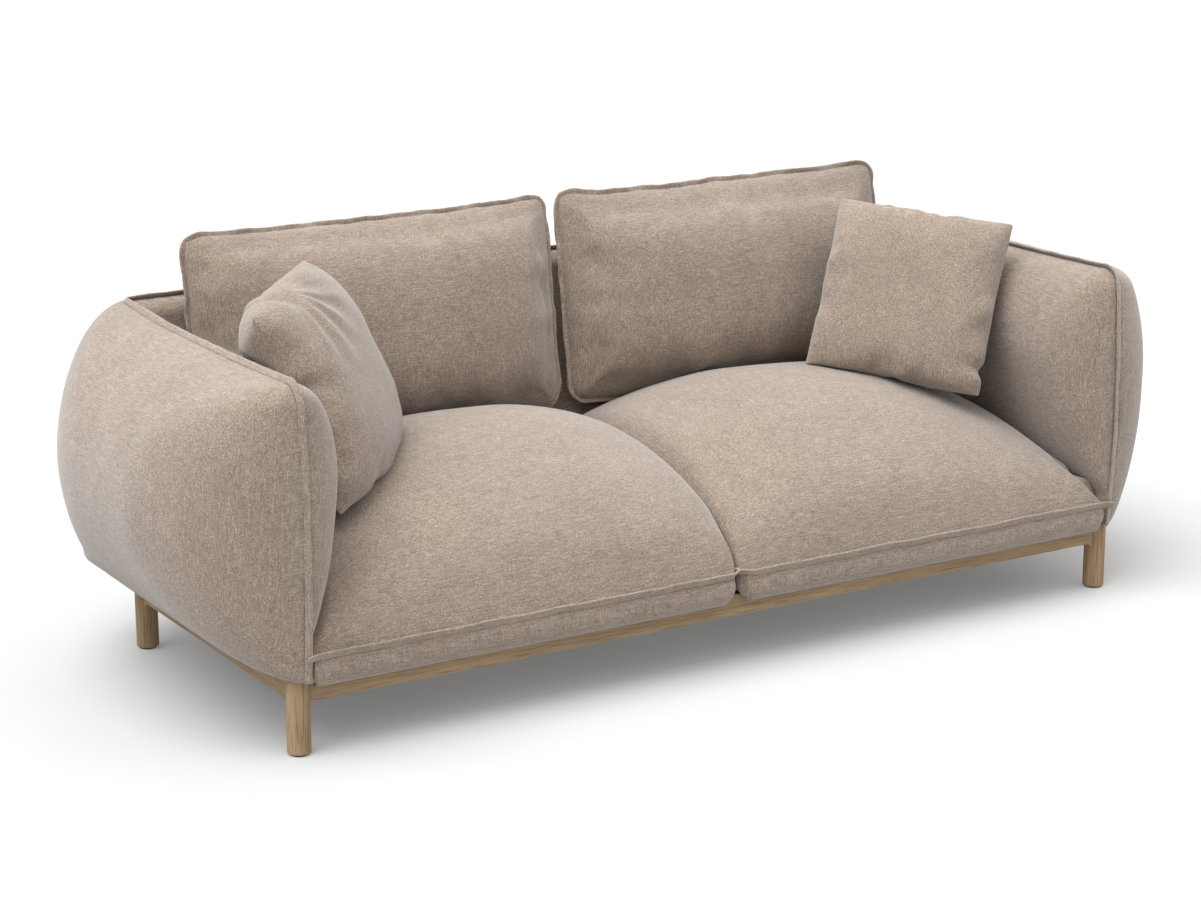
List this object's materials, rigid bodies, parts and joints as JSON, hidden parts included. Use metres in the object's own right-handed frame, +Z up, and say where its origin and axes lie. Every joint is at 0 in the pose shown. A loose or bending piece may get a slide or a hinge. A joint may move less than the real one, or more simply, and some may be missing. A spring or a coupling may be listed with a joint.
{
  "type": "sofa",
  "caption": "Deep sofa with bulging padded arms and back, loose seat and back cushions, throw pillows, and a low oak plinth on round legs.",
  "frame": {"origin": "on the floor, under the middle of the sofa's length and depth", "axes": "+X along the length, to the right of someone facing the front; +Y from the front to the back; +Z up"},
  "size_m": [2.26, 0.944, 0.8173],
  "materials": {
    "oak": "matt oiled oak",
    "beech": "plain planed",
    "softwood": "sawn",
    "glide_plastic": "matt",
    "zinc_steel": "zinc plated",
    "webbing": "elastic woven strap",
    "lining": "nonwoven",
    "upholstery": "soft melange chenille weave"
  },
  "bodies": {
    "frame": {"arm_bottom_rail_left": "softwood", "arm_bottom_rail_right": "softwood", "arm_inner_pad_left": "upholstery", "arm_inner_pad_right": "upholstery", "arm_outer_pad_left": "upholstery", "arm_outer_pad_right": "upholstery", "arm_post_front_left": "softwood", "arm_post_front_right": "softwood", "arm_post_rear_left": "softwood", "arm_post_rear_right": "softwood", "arm_top_rail_left": "softwood", "arm_top_rail_right": "softwood", "back_bottom_rail": "softwood", "back_inner_pad": "upholstery", "back_outer_pad": "upholstery", "back_post_centre": "softwood", "back_post_left": "softwood", "back_post_right": "softwood", "back_top_rail": "softwood", "back_webbing": "webbing", "bearer_centre": "beech", "bearer_left": "beech", "bearer_right": "beech", "corner_blocks": "beech", "corner_bolts": "zinc_steel", "deck_cloth": "lining", "deck_rail_centre": "softwood", "deck_rail_front": "softwood", "deck_rail_left": "softwood", "deck_rail_rear": "softwood", "deck_rail_right": "softwood", "deck_screws": "zinc_steel", "dust_cover": "lining", "frame_bolts": "zinc_steel", "glide_front_left": "glide_plastic", "glide_front_right": "glide_plastic", "glide_rear_left": "glide_plastic", "glide_rear_right": "glide_plastic", "leg_front_left": "oak", "leg_front_right": "oak", "leg_rear_left": "oak", "leg_rear_right": "oak", "rail_dowels": "beech", "rail_front": "oak", "rail_left": "oak", "rail_rear": "oak", "rail_right": "oak", "seat_webbing_crosswise": "webbing", "seat_webbing_lengthwise": "webbing"},
    "seat_left": {"seat_cushion_left": "upholstery"},
    "back_left": {"back_cushion_left": "upholstery"},
    "pillow_left": {"throw_pillow_left": "upholstery"},
    "seat_right": {"seat_cushion_right": "upholstery"},
    "back_right": {"back_cushion_right": "upholstery"},
    "pillow_right": {"throw_pillow_right": "upholstery"}
  },
  "joints": [
    {"name": "seat_left_slide_out", "type": "slide", "parent": "frame", "child": "seat_left", "axis": [0, -1, 0], "range_m": [0, 0.76]},
    {"name": "back_left_lift_out", "type": "slide", "parent": "frame", "child": "back_left", "axis": [0, 0.153, 0.9882], "range_m": [0, 0.35]},
    {"name": "pillow_left_lift_off", "type": "slide", "parent": "seat_left", "child": "pillow_left", "axis": [0, 0, 1], "range_m": [0, 0.3]},
    {"name": "seat_right_slide_out", "type": "slide", "parent": "frame", "child": "seat_right", "axis": [0, -1, 0], "range_m": [0, 0.76]},
    {"name": "back_right_lift_out", "type": "slide", "parent": "frame", "child": "back_right", "axis": [0, 0.153, 0.9882], "range_m": [0, 0.35]},
    {"name": "pillow_right_lift_off", "type": "slide", "parent": "seat_right", "child": "pillow_right", "axis": [0, 0, 1], "range_m": [0, 0.3]}
  ]
}
